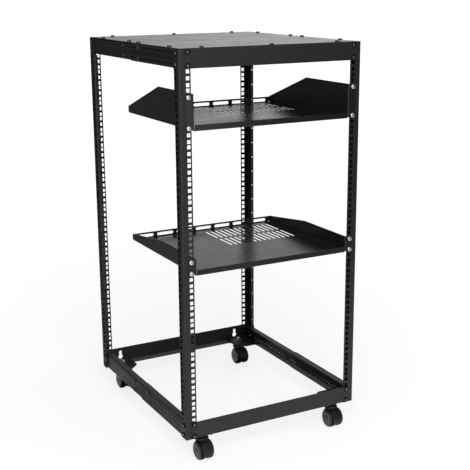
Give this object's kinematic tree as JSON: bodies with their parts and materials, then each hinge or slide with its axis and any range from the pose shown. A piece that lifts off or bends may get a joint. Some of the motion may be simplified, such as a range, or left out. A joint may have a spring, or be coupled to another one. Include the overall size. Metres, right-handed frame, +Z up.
{
  "type": "open-frame rack",
  "caption": "Open-frame equipment rack: four punched angle posts tied by beams and rails, flat top, folded cantilever shelves with vent slots, swivel casters at the corners.",
  "frame": {"origin": "on the floor under the middle of the frame", "axes": "+X to the right seen from the front, +Y to the rear, +Z up"},
  "size_m": [0.51, 0.597, 1.0487],
  "materials": {
    "frame_steel": "fine powder coat",
    "panel_steel": "satin powder coat",
    "plated_steel": "zinc plated",
    "caster_plastic": "moulded satin"
  },
  "bodies": {
    "frame": {"front_left_post": "frame_steel", "front_right_post": "frame_steel", "rear_left_post": "frame_steel", "rear_right_post": "frame_steel", "front_lower_beam": "frame_steel", "front_upper_beam": "frame_steel", "rear_lower_beam": "frame_steel", "rear_upper_beam": "frame_steel", "left_lower_rail_front": "frame_steel", "left_lower_rail_rear": "frame_steel", "right_lower_rail_front": "frame_steel", "right_lower_rail_rear": "frame_steel", "left_upper_rail_front": "frame_steel", "left_upper_rail_rear": "frame_steel", "right_upper_rail_front": "frame_steel", "right_upper_rail_rear": "frame_steel", "top_panel": "panel_steel", "upper_shelf": "panel_steel", "lower_shelf": "panel_steel", "front_left_caster_plate": "frame_steel", "front_left_caster_stem": "plated_steel", "front_right_caster_plate": "frame_steel", "front_right_caster_stem": "plated_steel", "rear_left_caster_plate": "frame_steel", "rear_left_caster_stem": "plated_steel", "rear_right_caster_plate": "frame_steel", "rear_right_caster_stem": "plated_steel"},
    "front_left_caster": {"front_left_caster_hood": "caster_plastic"},
    "front_left_caster_left_wheel": {"front_left_caster_left_wheel": "caster_plastic"},
    "front_left_caster_right_wheel": {"front_left_caster_right_wheel": "caster_plastic"},
    "front_right_caster": {"front_right_caster_hood": "caster_plastic"},
    "front_right_caster_left_wheel": {"front_right_caster_left_wheel": "caster_plastic"},
    "front_right_caster_right_wheel": {"front_right_caster_right_wheel": "caster_plastic"},
    "rear_left_caster": {"rear_left_caster_hood": "caster_plastic"},
    "rear_left_caster_left_wheel": {"rear_left_caster_left_wheel": "caster_plastic"},
    "rear_left_caster_right_wheel": {"rear_left_caster_right_wheel": "caster_plastic"},
    "rear_right_caster": {"rear_right_caster_hood": "caster_plastic"},
    "rear_right_caster_left_wheel": {"rear_right_caster_left_wheel": "caster_plastic"},
    "rear_right_caster_right_wheel": {"rear_right_caster_right_wheel": "caster_plastic"}
  },
  "joints": [
    {"name": "front_left_caster_swivel", "type": "hinge", "parent": "frame", "child": "front_left_caster", "pos_m": [-0.2, -0.267, 0.058], "axis": [0, 0, 1], "continuous": true},
    {"name": "front_left_caster_left_wheel_spin", "type": "hinge", "parent": "front_left_caster", "child": "front_left_caster_left_wheel", "pos_m": [-0.21225, -0.2765, 0.025], "axis": [1, 0, 0], "continuous": true},
    {"name": "front_left_caster_right_wheel_spin", "type": "hinge", "parent": "front_left_caster", "child": "front_left_caster_right_wheel", "pos_m": [-0.18775, -0.2765, 0.025], "axis": [1, 0, 0], "continuous": true},
    {"name": "front_right_caster_swivel", "type": "hinge", "parent": "frame", "child": "front_right_caster", "pos_m": [0.2, -0.267, 0.058], "axis": [0, 0, 1], "continuous": true},
    {"name": "front_right_caster_left_wheel_spin", "type": "hinge", "parent": "front_right_caster", "child": "front_right_caster_left_wheel", "pos_m": [0.18775, -0.2765, 0.025], "axis": [1, 0, 0], "continuous": true},
    {"name": "front_right_caster_right_wheel_spin", "type": "hinge", "parent": "front_right_caster", "child": "front_right_caster_right_wheel", "pos_m": [0.21225, -0.2765, 0.025], "axis": [1, 0, 0], "continuous": true},
    {"name": "rear_left_caster_swivel", "type": "hinge", "parent": "frame", "child": "rear_left_caster", "pos_m": [-0.2, 0.267, 0.058], "axis": [0, 0, 1], "continuous": true},
    {"name": "rear_left_caster_left_wheel_spin", "type": "hinge", "parent": "rear_left_caster", "child": "rear_left_caster_left_wheel", "pos_m": [-0.21225, 0.2575, 0.025], "axis": [1, 0, 0], "continuous": true},
    {"name": "rear_left_caster_right_wheel_spin", "type": "hinge", "parent": "rear_left_caster", "child": "rear_left_caster_right_wheel", "pos_m": [-0.18775, 0.2575, 0.025], "axis": [1, 0, 0], "continuous": true},
    {"name": "rear_right_caster_swivel", "type": "hinge", "parent": "frame", "child": "rear_right_caster", "pos_m": [0.2, 0.267, 0.058], "axis": [0, 0, 1], "continuous": true},
    {"name": "rear_right_caster_left_wheel_spin", "type": "hinge", "parent": "rear_right_caster", "child": "rear_right_caster_left_wheel", "pos_m": [0.18775, 0.2575, 0.025], "axis": [1, 0, 0], "continuous": true},
    {"name": "rear_right_caster_right_wheel_spin", "type": "hinge", "parent": "rear_right_caster", "child": "rear_right_caster_right_wheel", "pos_m": [0.21225, 0.2575, 0.025], "axis": [1, 0, 0], "continuous": true}
  ]
}
